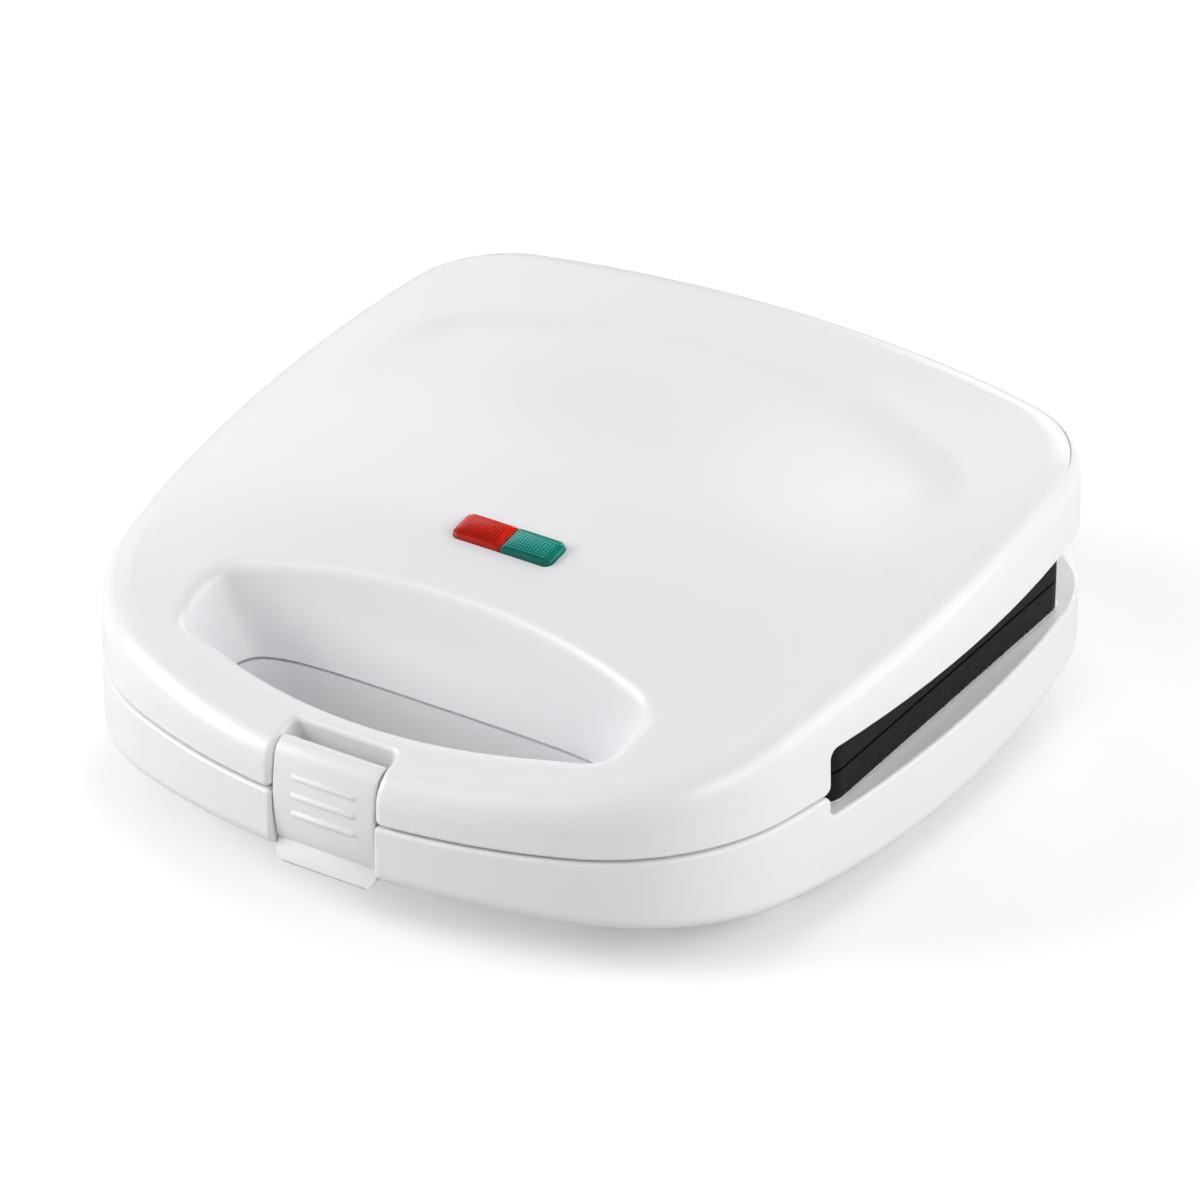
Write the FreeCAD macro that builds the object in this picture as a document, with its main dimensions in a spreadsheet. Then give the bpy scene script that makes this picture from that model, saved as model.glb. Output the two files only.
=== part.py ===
import FreeCAD, Part
import math
import os

from FreeCAD import Placement, Rotation, Vector

# Donut maker: two hinged white housings with a through grip at the front, a latch
# over the grip, and a pair of removable ring plates with heaters behind them.
# Millimetres. Z is up from the table, the latch faces -Y, the hinge is at +Y.

doc = FreeCAD.newDocument("donut_maker")
sheet = doc.addObject("Spreadsheet::Sheet", "Dims")

DIMENSIONS = [
    # plan outline of both housings
    ("body_width", 230.0),
    ("body_depth", 246.0),
    ("front_radius", 177.0),
    ("side_radius", 429.0),
    ("back_radius", 384.0),
    ("side_centre_y", 20.5),
    ("front_corner", 66.0),
    ("back_corner", 37.0),
    ("wall", 2.6),
    # levels: the seam above the table, and distances from the seam
    ("seam_height", 37.0),
    ("seam_gap", 0.9),
    ("lid_side_gap", 13.1),
    ("base_side_gap", 7.3),
    ("gap_front_y", -44.2),
    ("gap_corner", 2.6),
    # crowned top of the lid
    ("top_edge_height", 29.7),
    ("top_edge_slope", 0.083),
    ("top_edge_sag", 0.00005),
    ("front_drop", 4.4),
    ("front_drop_y", -70.0),
    ("front_drop_run", 45.0),
    ("crown_height", 9.2),
    ("crown_front_y", -95.0),
    ("crown_run", 70.0),
    ("crown_fade", 0.85),
    ("crown_fade_run", 105.0),
    ("crown_half_width", 112.0),
    ("crown_power", 2.4),
    ("dish_depth", 2.0),
    ("dish_back_y", 90.5),
    ("dish_bend", 290.0),
    ("dish_half_width", 90.0),
    ("dish_corner", 14.0),
    ("dish_run", 8.0),
    ("dish_fade_y", -10.0),
    ("dish_fade_run", 70.0),
    ("lid_draft", 1.4),
    ("shoulder_radius", 9.5),
    # curved underside of the base
    ("belly_radius", 622.0),
    ("belly_drop", 32.2),
    ("belly_centre_y", 11.8),
    ("belly_edge", 5.0),
    ("rim_round", 1.2),
    ("cover_inset", 9.0),
    # grip opening at the front
    ("grip_half", 60.0),
    ("grip_front_y", -99.5),
    ("grip_back_y", -64.0),
    ("grip_top_half", 74.0),
    ("grip_top_front_y", -105.0),
    ("grip_top_back_y", -53.5),
    ("grip_top_height", 34.0),
    ("grip_lip", 5.0),
    ("grip_wall", 2.4),
    # notch and latch
    ("notch_half", 16.5),
    ("notch_back_y", -113.2),
    ("base_notch_back_y", -116.4),
    ("pocket_back_y", -109.4),
    ("pocket_floor", 7.5),
    ("pocket_corner", 2.5),
    ("notch_round", 2.0),
    ("base_notch_round", 1.0),
    ("bar_half", 22.0),
    ("latch_clearance", 0.4),
    ("latch_pin_y", -117.0),
    ("latch_pin_height", 9.0),
    ("latch_pin_radius", 1.5),
    ("latch_pin_length", 40.0),
    ("latch_barrel_radius", 3.0),
    ("latch_rib_radius", 1.05),
    ("latch_rib_half", 9.2),
    # hinge
    ("hinge_y", 116.0),
    ("hinge_height", 5.0),
    ("hinge_pin_radius", 2.0),
    ("hinge_pin_length", 23.0),
    ("hinge_lug_radius", 4.2),
    ("hinge_inner_x", 22.0),
    ("hinge_outer_x", 46.0),
    ("hinge_lug_width", 6.0),
    ("running_clearance", 0.05),
    # cooking plates, measured from the parting plane between them
    ("parting_height", 2.9),
    ("parting_gap", 0.4),
    ("plate_width", 215.6),
    ("plate_depth", 129.0),
    ("plate_centre_y", 21.0),
    ("plate_corner", 8.0),
    ("plate_height", 8.0),
    ("plate_web", 2.4),
    ("plate_skirt", 3.0),
    ("plate_pocket_clearance", 1.2),
    ("ring_radius", 17.5),
    ("ring_depth", 11.5),
    ("ring_wall", 2.2),
    ("ring_pitch_x", 66.0),
    ("ring_pitch_y", 61.0),
    # heat shields and heaters
    ("tray_width", 207.0),
    ("tray_depth", 123.0),
    ("tray_top", 8.5),
    ("tray_height", 12.6),
    ("tray_sheet", 0.8),
    ("tray_rim", 0.7),
    ("tray_lip", 0.35),
    ("deck_opening_width", 209.0),
    ("deck_opening_depth", 125.0),
    ("heater_radius", 2.8),
    ("heater_drop", 17.3),
    ("heater_bend", 12.0),
    ("heater_half_width", 76.0),
    ("heater_end_x", 12.0),
    ("heater_end_y", 94.0),
    # plate locks
    ("lock_half", 9.0),
    ("lock_nose_half", 5.0),
    ("lock_travel", 12.0),
    # feet and screws
    ("foot_radius", 8.6),
    ("foot_height", 6.8),
    ("foot_stem_radius", 4.0),
    ("foot_stem_top", 11.0),
    ("foot_x", 88.0),
    ("foot_spread", 60.0),
    ("screw_shank_radius", 1.4),
    ("screw_shank_length", 8.0),
    ("screw_head_radius", 2.8),
    ("screw_head_height", 1.3),
    ("boss_radius", 4.0),
    ("boss_front_x", 66.0),
    ("boss_front_y", -53.0),
    ("boss_back_x", 60.0),
    ("boss_back_y", 100.0),
    # lamps
    ("lens_y", -31.0),
    ("lens_width", 15.7),
    ("lens_depth", 10.0),
    ("lens_proud", 1.7),
    ("lens_corner", 2.2),
    ("lens_dome", 0.9),
    # electrics
    ("thermostat_radius", 8.5),
    ("thermostat_height", 5.0),
    ("thermostat_y", 38.0),
    ("fuse_radius", 2.4),
    ("fuse_length", 14.0),
    ("lead_radius", 1.1),
    ("inlet_height", -13.2),
    ("inlet_bore", 3.3),
    ("inlet_barrel", 4.0),
    ("inlet_flange", 4.9),
]

for row, (alias, value) in enumerate(DIMENSIONS, start=1):
    sheet.set(f"A{row}", alias)
    sheet.set(f"B{row}", str(value))
    sheet.setAlias(f"B{row}", alias)
doc.recompute()


SIZES = {alias: float(sheet.get(alias)) for alias, _ in DIMENSIONS}


def val(alias):
    return SIZES[alias]


SEAM = val("seam_height")
WALL = val("wall")
FRONT_Y = -val("body_depth") / 2
BACK_Y = val("body_depth") / 2
HALF_GAP = val("seam_gap") / 2
PARTING = SEAM + val("parting_height")
X_AXIS = Vector(1, 0, 0)
Y_AXIS = Vector(0, 1, 0)
Z_AXIS = Vector(0, 0, 1)
REACH = 150.0  # longer than half the object in any direction
FIT = 0.15  # clearance between moulded pieces that sit inside one another

nodes = []


def keep(piece, label):
    piece.Label = label
    nodes.append(piece)
    return piece


def feature(label, shape):
    piece = doc.addObject("Part::Feature", label)
    piece.Shape = shape
    return keep(piece, label)


def one_solid(shape):
    return max(shape.Solids, key=lambda solid: solid.Volume)


def block(x0, x1, y0, y1, z0, z1):
    return Part.makeBox(x1 - x0, y1 - y0, z1 - z0, Vector(x0, y0, z0))


def rod(radius, start, axis, length):
    return Part.makeCylinder(radius, length, start, axis)


# Plan outline


def circle_meeting(centre_a, radius_a, centre_b, radius_b):
    """The right-hand point where two circles cross."""
    run = centre_b - centre_a
    along = (radius_a**2 - radius_b**2 + run.Length**2) / (2 * run.Length)
    across = math.sqrt(radius_a**2 - along**2)
    unit = run * (1 / run.Length)
    normal = Vector(-unit.y, unit.x, 0)
    foot = centre_a + unit * along
    return max(foot + normal * across, foot - normal * across, key=lambda p: p.x)


def outline_wire(inset, z):
    """Eight tangent arcs round the housing, drawn in by inset, at height z."""
    front_r, side_r, back_r = val("front_radius"), val("side_radius"), val("back_radius")
    corner_f, corner_b = val("front_corner"), val("back_corner")
    front = Vector(0, FRONT_Y + front_r, 0)
    side = Vector(val("body_width") / 2 - side_r, val("side_centre_y"), 0)
    back = Vector(0, BACK_Y - back_r, 0)
    near = circle_meeting(front, front_r - corner_f, side, side_r - corner_f)
    far = circle_meeting(back, back_r - corner_b, side, side_r - corner_b)

    def on_arc(centre, through, radius):
        return centre + (through - centre).normalize() * (radius - inset)

    def between(centre, radius, start, end):
        return centre + ((start - centre) + (end - centre)).normalize() * (radius - inset)

    a = on_arc(front, near, front_r)
    b = on_arc(side, near, side_r)
    c = on_arc(side, far, side_r)
    d = on_arc(back, far, back_r)
    right = [
        (a, between(near, corner_f, a, b), b),
        (b, between(side, side_r, b, c), c),
        (c, between(far, corner_b, c, d), d),
    ]

    def put(point, sign):
        return Vector(sign * point.x, point.y, z)

    arcs = [(put(a, -1), Vector(0, FRONT_Y + inset, z), put(a, 1))]
    arcs += [tuple(put(p, 1) for p in arc) for arc in right]
    arcs += [(put(d, 1), Vector(0, BACK_Y - inset, z), put(d, -1))]
    arcs += [tuple(put(p, -1) for p in reversed(arc)) for arc in reversed(right)]
    return Part.Wire([Part.Arc(*arc).toShape() for arc in arcs])


def outline_prism(inset, z0, z1, draft=0.0):
    wires = [outline_wire(inset, z0), outline_wire(inset + draft, z1)]
    return Part.makeLoft(wires, True, True)


# Crowned top of the lid


def smooth(value):
    t = max(0.0, min(1.0, value))
    return t * t * (3 - 2 * t)


def top_height(x, y):
    """Height of the lid's top above the seam."""
    drop = max(0.0, (val("front_drop_y") - y) / val("front_drop_run"))
    edge = val("top_edge_height") + val("top_edge_slope") * y - val("top_edge_sag") * y * y
    edge -= val("front_drop") * drop**2
    rise = smooth((y - val("crown_front_y")) / val("crown_run"))
    fade = 1 - val("crown_fade") * smooth(y / val("crown_fade_run"))
    across = min(1.3, abs(x) / val("crown_half_width")) ** val("crown_power")
    crown = val("crown_height") * rise * fade * (1 - across)
    corner = val("dish_corner")
    to_back = val("dish_back_y") - x * x / val("dish_bend") - y
    to_side = val("dish_half_width") - abs(x)
    inside = corner - math.hypot(max(0.0, corner - to_back), max(0.0, corner - to_side))
    sink = 1 - math.exp(-max(0.0, inside) / val("dish_run"))
    reach = smooth((y - val("dish_fade_y")) / val("dish_fade_run"))
    return edge + crown - val("dish_depth") * sink * reach


def top_form():
    """Solid that fills everything below the lid's top surface."""
    columns, rows = 47, 49
    half_x, half_y = 126.0, 134.0
    grid = []
    for i in range(columns):
        x = -half_x + 2 * half_x * i / (columns - 1)
        line = []
        for j in range(rows):
            y = -half_y + 2 * half_y * j / (rows - 1)
            line.append(Vector(x, y, SEAM + top_height(x, y)))
        grid.append(line)
    surface = Part.BSplineSurface()
    surface.interpolate(grid)
    return surface.toShape().extrude(Vector(0, 0, -90))


# Grip opening


def grip_wire(z, half, front, back, front_bend, back_bend, power):
    """Closed rounded curve: width 2 x half, its long sides bent to follow the housing."""
    middle = (front + back) / 2
    reach = (back - front) / 2
    points = []
    count = 36
    for i in range(count):
        turn = 2 * math.pi * (i + 0.5) / count
        cos, sin = math.cos(turn), math.sin(turn)
        scale = (abs(cos) ** power + abs(sin) ** power) ** (-1 / power)
        x = half * cos * scale
        side = sin * scale
        bend = back_bend if sin > 0 else front_bend
        points.append(Vector(x, middle + reach * side + bend * x * x * side * side, z))
    curve = Part.BSplineCurve()
    curve.interpolate(Points=points, PeriodicFlag=True)
    return Part.Wire(curve.toShape())


def grip_solid(grow):
    """The finger opening through both housings, grown outward all round by grow."""
    follow = 0.5 / val("front_radius")
    low = [
        val("grip_half") + grow,
        val("grip_front_y") - grow,
        val("grip_back_y") + grow,
        follow,
        0.0,
        5.0,
    ]
    high = [
        val("grip_top_half") + grow,
        val("grip_top_front_y") - grow,
        val("grip_top_back_y") + grow,
        follow,
        -0.0016,
        3.0,
    ]
    lower = Part.makeLoft([grip_wire(SEAM - 50, *low), grip_wire(SEAM, *low)], True, True)
    levels = [grip_wire(SEAM, *low), grip_wire(SEAM + val("grip_top_height"), *high)]
    return lower.fuse(Part.makeLoft(levels, True, True))


# Side gap and plate pocket


def step_tool(level):
    """Cutter that opens the gap behind gap_front_y, from the seam to level, both ends rounded."""
    sign = 1 if level > 0 else -1
    y0 = val("gap_front_y")
    r = val("gap_corner")
    near = sign * HALF_GAP
    far = -sign * 30.0
    slant = math.sqrt(0.5)

    def at(y, height):
        return Vector(-REACH, y, SEAM + height)

    corner = Part.Arc(
        at(y0 - r, near),
        at(y0 - r + r * slant, near + sign * r * (1 - slant)),
        at(y0, near + sign * r),
    )
    bend = Part.Arc(
        at(y0, level - sign * r),
        at(y0 + r * (1 - slant), level - sign * r * (1 - slant)),
        at(y0 + r, level),
    )
    edges = [
        corner.toShape(),
        Part.makeLine(at(y0, near + sign * r), at(y0, level - sign * r)),
        bend.toShape(),
        Part.makeLine(at(y0 + r, level), at(REACH, level)),
        Part.makeLine(at(REACH, level), at(REACH, far)),
        Part.makeLine(at(REACH, far), at(y0 - r, far)),
        Part.makeLine(at(y0 - r, far), at(y0 - r, near)),
    ]
    return Part.Face(Part.Wire(edges)).extrude(Vector(2 * REACH, 0, 0))


def rounded_prism(width, depth, centre_y, corner, z0, z1):
    """Upright block with rounded corners, centred on x = 0."""
    half = width / 2
    y0, y1 = centre_y - depth / 2, centre_y + depth / 2
    shape = block(-half, half, y0, y1, z0, z1)
    upright = [e for e in shape.Edges if abs(e.Vertexes[0].Z - e.Vertexes[1].Z) > 1e-6]
    return shape.makeFillet(corner, upright)


def plate_pocket(z0, z1):
    room = val("plate_pocket_clearance")
    return rounded_prism(
        val("plate_width") + 2 * room,
        val("plate_depth") + 2 * room,
        val("plate_centre_y"),
        val("plate_corner") + room,
        z0,
        z1,
    )


def deck_opening(z0, z1):
    return rounded_prism(
        val("deck_opening_width"),
        val("deck_opening_depth"),
        val("plate_centre_y"),
        val("plate_corner") + 1,
        z0,
        z1,
    )


def deck_step_y():
    return val("plate_centre_y") - val("plate_depth") / 2 - val("plate_pocket_clearance")


def boss_places():
    places = []
    for side in (-1, 1):
        places.append((side * val("boss_front_x"), val("boss_front_y")))
        places.append((side * val("boss_back_x"), val("boss_back_y")))
    return places


def hinge_spans(gap):
    """X spans of the base's lugs and of the lid's lug between them, on the right-hand side."""
    x0, x1, width = val("hinge_inner_x"), val("hinge_outer_x"), val("hinge_lug_width")
    return [(x0, x0 + width), (x1 - width, x1)], (x0 + width + gap, x1 - width - gap)


def lug(x0, x1, z_end):
    """Hinge lug: a round eye on the axis and a web from it to height z_end."""
    r = val("hinge_lug_radius")
    y = val("hinge_y")
    z = SEAM + val("hinge_height")
    eye = rod(r, Vector(x0, y, z), X_AXIS, x1 - x0)
    web = block(x0, x1, y - r, y + r, min(z, z_end), max(z, z_end))
    return eye.fuse(web)


def hinge_bore(x0, x1):
    radius = val("hinge_pin_radius") + val("running_clearance")
    return rod(radius, Vector(x0, val("hinge_y"), SEAM + val("hinge_height")), X_AXIS, x1 - x0)


def plate_pegs(z_root, z_near, z_far):
    """Two fixed pegs behind a plate: a post from z_root and a peg reaching into the plate."""
    pegs = []
    rear = val("plate_centre_y") + val("plate_depth") / 2
    for x in (-45.0, 45.0):
        low, high = min(z_near, z_far), max(z_near, z_far)
        post = block(x - 6, x + 6, rear + 1.3, rear + 4.5, min(z_root, low), max(z_root, high))
        peg = block(x - 6, x + 6, rear - 2.0, rear + 1.3, low, high)
        pegs.append(post.fuse(peg))
    return pegs


LOCK_NOSE = (5.1, 6.5)  # nose of a plate lock, its distances from the parting plane
THUMB_Y = (-54.5, -50.5)  # thumb tab of a plate lock
FRAME = 2.4  # thickness of the lid's inner frame
BAR_BACK_Y = -101.0  # back of the solid middle of the carrying bar


# Lid


def rim_edges(shape, floor, ceiling):
    """Edges round the open side of a housing, between two heights and on its outer wall."""
    rim = []
    for edge in shape.Edges:
        box = edge.BoundBox
        across = box.XLength > 200
        shoulder = box.YMax < -100 and box.ZMin > SEAM + 1
        if floor < box.ZMin and box.ZMax < ceiling and not across and not shoulder:
            rim.append(edge)
    return rim


def grip_rim(shape):
    """Edges where the grip opening breaks through the top of a solid."""
    rim = []
    for edge in shape.Edges:
        box = edge.BoundBox
        inside = -85 < box.XMin and box.XMax < 85 and box.YMin > -112 and box.YMax < -45
        if inside and box.ZMin > SEAM + 10 and box.XLength > 20:
            rim.append(edge)
    return rim


def notch_rim(shape, back_y):
    """Edges where the latch notch breaks out through the front and top of a solid."""
    half = val("notch_half") + 0.1
    rim = []
    for edge in shape.Edges:
        box = edge.BoundBox
        near = -half < box.XMin and box.XMax < half and box.YMax < back_y + 0.1
        upright = box.YLength < 0.02 and box.YMax > back_y - 5.5
        level = box.ZLength < 0.02 and box.ZMin < SEAM + 11.5
        inner = box.ZMax < SEAM + 11.5 and box.YMin > val("notch_back_y") - 0.1
        if near and not upright and not level and not inner:
            rim.append(edge)
    return rim


def lid_notch():
    """Cutter for the latch notch and for the round-cornered pocket behind the latch."""
    half = val("notch_half")
    front = FRONT_Y - 10
    notch = block(-half, half, front, val("notch_back_y"), SEAM - 5, SEAM + 60)
    pocket = block(-half, half, front, val("pocket_back_y"), SEAM + val("pocket_floor"), SEAM + 60)
    soft = []
    for edge in pocket.Edges:
        box = edge.BoundBox
        if box.YMin > front + 1 and (box.ZLength > 1 or box.ZMax < SEAM + 12):
            soft.append(edge)
    pocket = pocket.makeFillet(val("pocket_corner"), soft)
    return notch.fuse(pocket).removeSplitter()


def lid_hollow(form):
    """The space inside the lid, less the pieces of the lid that stand in it."""
    hollow = outline_prism(WALL, SEAM - 5, SEAM + 60, val("lid_draft"))
    lowered = form.copy()
    lowered.translate(Vector(0, 0, -WALL))
    hollow = one_solid(hollow.common(lowered))
    bar = block(-val("bar_half"), val("bar_half"), FRONT_Y - 5, BAR_BACK_Y, SEAM - 10, SEAM + 60)
    kept = [grip_solid(val("grip_wall")), bar]
    for x, y in boss_places():
        floor = SEAM + (HALF_GAP if y < 0 else val("lid_side_gap")) + FRAME
        kept.append(rod(val("boss_radius"), Vector(x, y, floor), Z_AXIS, 60))
    for x0, x1 in lid_lug_spans():
        kept.append(block(x0, x1, val("hinge_y") - val("hinge_lug_radius"), REACH, SEAM, SEAM + 20))
    for piece in kept:
        hollow = hollow.cut(piece)
    return hollow


def lid_lug_spans():
    _, span = hinge_spans(0.4)
    return [span, (-span[1], -span[0])]


def make_lid_housing():
    """Lid: a crowned block with rounded edges, hollowed to a shell."""
    form = top_form()
    lid = one_solid(outline_prism(0, SEAM + HALF_GAP, SEAM + 60, val("lid_draft")).common(form))
    crown = max(lid.Faces, key=lambda f: f.CenterOfMass.z)
    lid = lid.makeFillet(val("shoulder_radius"), crown.OuterWire.Edges)
    lid = one_solid(lid.cut(step_tool(val("lid_side_gap"))))
    lid = lid.makeFillet(val("rim_round"), rim_edges(lid, SEAM, SEAM + val("lid_side_gap") + 0.1))
    lid = one_solid(lid.cut(grip_solid(0)))
    lid = lid.makeFillet(val("grip_lip"), grip_rim(lid))
    lid = one_solid(lid.cut(lid_notch()))
    lid = lid.makeFillet(val("notch_round"), notch_rim(lid, val("pocket_back_y")))

    cutters = [lid_hollow(form)]
    pin_start = Vector(-val("latch_pin_length") / 2, val("latch_pin_y"), SEAM + val("latch_pin_height"))
    cutters.append(rod(val("latch_pin_radius") + 0.03, pin_start, X_AXIS, val("latch_pin_length")))
    width = 2 * val("lens_width") + 0.5
    window = rounded_prism(width, val("lens_depth") + 0.3, 0, val("lens_corner") + FIT, -8, 8)
    window.Placement = lens_placement()
    cutters.append(window)
    for x, y in boss_places():
        floor = SEAM + (HALF_GAP if y < 0 else val("lid_side_gap"))
        cutters.append(rod(val("screw_shank_radius") + 0.05, Vector(x, y, floor - 1), Z_AXIS, 12.5))
    for cutter in cutters:
        lid = lid.cut(cutter)
    for x0, x1 in lid_lug_spans():
        eye = lug(x0, x1, SEAM + 20)
        lid = lid.fuse(eye.common(outline_prism(0.6, SEAM - 5, SEAM + 60)))
    lid = lid.cut(hinge_bore(-60, 60))
    return feature("lid_housing", one_solid(lid.removeSplitter()))


def lens_placement():
    y = val("lens_y")
    slope = (top_height(0, y + 1) - top_height(0, y - 1)) / 2
    tilt = Rotation(X_AXIS, math.degrees(math.atan(slope)))
    return Placement(Vector(0, y, SEAM + top_height(0, y)), tilt)


def make_lid_frame():
    """Inner frame that closes the lid from below: a low front deck, a step and a raised ring."""
    low = SEAM + HALF_GAP
    high = SEAM + val("lid_side_gap")
    step = deck_step_y()
    frame = block(-REACH, REACH, -REACH, step, low, low + FRAME)
    frame = frame.fuse(block(-REACH, REACH, step - FRAME, step, low, high + FRAME))
    frame = frame.fuse(block(-REACH, REACH, step - FRAME, REACH, high, high + FRAME))
    frame = frame.common(outline_prism(WALL + FIT, SEAM - 5, SEAM + 60, val("lid_draft")))
    cutters = [
        plate_pocket(SEAM - 5, high),
        deck_opening(SEAM - 5, SEAM + 60),
        grip_solid(val("grip_wall") + FIT),
        block(-val("bar_half") - FIT, val("bar_half") + FIT, -REACH, BAR_BACK_Y + FIT, SEAM - 5, SEAM + 60),
    ]
    _, span = hinge_spans(0.0)
    lug_front = val("hinge_y") - val("hinge_lug_radius") - 0.3
    for side in (-1, 1):
        x0, x1 = sorted((side * span[0], side * span[1]))
        cutters.append(block(x0, x1, lug_front, REACH, SEAM, SEAM + 60))
    for x, y in boss_places():
        floor = low if y < 0 else high
        cutters.append(rod(val("screw_shank_radius") + 0.2, Vector(x, y, floor - 1), Z_AXIS, 10))
        cutters.append(rod(val("screw_head_radius") + 0.2, Vector(x, y, floor - 1), Z_AXIS, 2.45))
    slide = sorted((-val("lock_nose_half") - 0.4 - val("lock_travel"), val("lock_nose_half") + 0.4))
    cutters.append(block(*slide, THUMB_Y[0] - 0.4, THUMB_Y[1] + 0.4, low - 1, low + FRAME + 1))
    nose_low, nose_high = PARTING + LOCK_NOSE[0], PARTING + LOCK_NOSE[1]
    cutters.append(block(*slide, step - FRAME - 1, step + 1, nose_low - 0.4, nose_high + 0.4))
    for cutter in cutters:
        frame = frame.cut(cutter)
    for peg in plate_pegs(high + 1, nose_low, nose_high):
        frame = frame.fuse(peg)
    return feature("lid_frame", one_solid(frame.removeSplitter()))


# Base


def belly(inset):
    """The large cylinder whose lower side is the base's curved underside."""
    radius = val("belly_radius")
    axis = Vector(-REACH, val("belly_centre_y"), SEAM - val("belly_drop") + radius)
    return rod(radius - inset, axis, X_AXIS, 2 * REACH)


def belly_height(y):
    return SEAM - val("belly_drop") + (y - val("belly_centre_y")) ** 2 / (2 * val("belly_radius"))


def bar_block(grow):
    half = val("bar_half") + grow
    return block(-half, half, -REACH, BAR_BACK_Y + grow, SEAM - 60, SEAM + 10)


def base_notch():
    half = val("notch_half")
    return block(-half, half, -REACH, val("base_notch_back_y"), SEAM - 30, SEAM + 10)


def make_base_housing():
    top = SEAM - HALF_GAP
    deck = SEAM - val("base_side_gap")
    step = deck_step_y()
    base = one_solid(outline_prism(0, SEAM - 45, top).common(belly(0)))
    under = min(base.Faces, key=lambda f: f.CenterOfMass.z)
    base = base.makeFillet(val("belly_edge"), under.OuterWire.Edges)
    base = one_solid(base.cut(step_tool(-val("base_side_gap"))))
    base = base.makeFillet(val("rim_round"), rim_edges(base, deck - 0.1, SEAM))
    base = one_solid(base.cut(grip_solid(0)))
    notch_back = val("base_notch_back_y")
    base = one_solid(base.cut(base_notch()))
    base = base.makeFillet(val("base_notch_round"), notch_rim(base, notch_back))

    hollow = one_solid(outline_prism(WALL, SEAM - 45, top - WALL).common(belly(WALL)))
    guide = block(-26, 34, -59.5, -56.4, SEAM - 7.4, top)
    guide_lip = block(-26, 34, -57, -52, SEAM - 7.4, SEAM - 5.8)
    kept = [
        block(-REACH, REACH, step - WALL, REACH, deck - WALL, SEAM + 5),
        grip_solid(val("grip_wall")),
        bar_block(0),
        guide,
        guide_lip,
    ]
    for x, y in boss_places():
        kept.append(rod(val("boss_radius"), Vector(x, y, SEAM - 45), Z_AXIS, 60))
    for piece in kept:
        hollow = hollow.cut(piece)

    opening = outline_prism(val("cover_inset"), SEAM - 45, SEAM - 5).cut(belly(WALL))
    opening = opening.cut(grip_solid(val("grip_wall"))).cut(bar_block(0))
    inlet = Vector(0, BACK_Y - 15, SEAM + val("inlet_height"))
    flange_seat = Vector(0, BACK_Y - 1.4, SEAM + val("inlet_height"))
    slide = (-val("lock_nose_half") - 0.4, val("lock_nose_half") + 0.4 + val("lock_travel"))
    nose_low, nose_high = PARTING - LOCK_NOSE[1], PARTING - LOCK_NOSE[0]
    cutters = [
        hollow,
        plate_pocket(deck, SEAM + 10),
        deck_opening(deck - 2 * WALL, SEAM + 10),
        opening,
        rod(val("inlet_barrel") + 0.1, inlet, Y_AXIS, 20),
        rod(val("inlet_flange") + 0.1, flange_seat, Y_AXIS, 10),
        block(*slide, THUMB_Y[0] - 0.4, THUMB_Y[1] + 0.4, top - WALL - 1, top + 1),
        block(*slide, THUMB_Y[1] - 0.5, step + 1, nose_low - 0.4, nose_high + 0.4),
    ]
    for x, y in boss_places():
        start = Vector(x, y, belly_height(y))
        cutters.append(rod(val("screw_shank_radius") + 0.05, start, Z_AXIS, 11.5))
    for cutter in cutters:
        base = base.cut(cutter)
    added = plate_pegs(deck - 1, nose_low, nose_high)
    spans, _ = hinge_spans(0)
    for side in (-1, 1):
        for span in spans:
            x0, x1 = sorted((side * span[0], side * span[1]))
            added.append(lug(x0, x1, deck - 1))
    for piece in added:
        base = base.fuse(piece)
    base = base.cut(hinge_bore(-60, 60))
    return feature("base_housing", one_solid(base.removeSplitter()))


def foot_places():
    y = val("belly_centre_y")
    spread = val("foot_spread")
    return [(sx * val("foot_x"), y + sy * spread) for sx in (-1, 1) for sy in (-1, 1)]


def make_base_cover():
    cover = outline_prism(val("cover_inset") + FIT, SEAM - 45, SEAM - 5).common(belly(0))
    cover = cover.cut(belly(WALL))
    cutters = [grip_solid(val("grip_wall") + FIT), bar_block(FIT)]
    for x, y in foot_places():
        cutters.append(rod(val("foot_stem_radius") + 0.05, Vector(x, y, 0), Z_AXIS, 20))
    for x, y in boss_places():
        low = belly_height(y)
        cutters.append(rod(val("screw_shank_radius") + 0.2, Vector(x, y, low - 5), Z_AXIS, 20))
        head_room = 5.3 + val("screw_head_height") + 0.15
        cutters.append(rod(val("screw_head_radius") + 0.2, Vector(x, y, low - 5), Z_AXIS, head_room))
    for cutter in cutters:
        cover = cover.cut(cutter)
    return feature("base_cover", one_solid(cover.removeSplitter()))


# Sketch helpers


def new_body(name):
    return doc.addObject("PartDesign::Body", name)


def new_sketch(body, role, name, lift=None):
    made = body.newObject("Sketcher::SketchObject", name)
    plane = [f for f in body.Origin.OriginFeatures if f.Role == role][0]
    made.AttachmentSupport = [(plane, "")]
    made.MapMode = "FlatFace"
    if lift:
        made.setExpression("AttachmentOffset.Base.z", lift)
    return made


def draw_polygon(sketch, points):
    ends = points[1:] + points[:1]
    for start, end in zip(points, ends):
        sketch.addGeometry(Part.LineSegment(Vector(*start, 0), Vector(*end, 0)), False)


def draw_circle(sketch, x, y, radius):
    sketch.addGeometry(Part.Circle(Vector(x, y, 0), Z_AXIS, radius), False)


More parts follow.
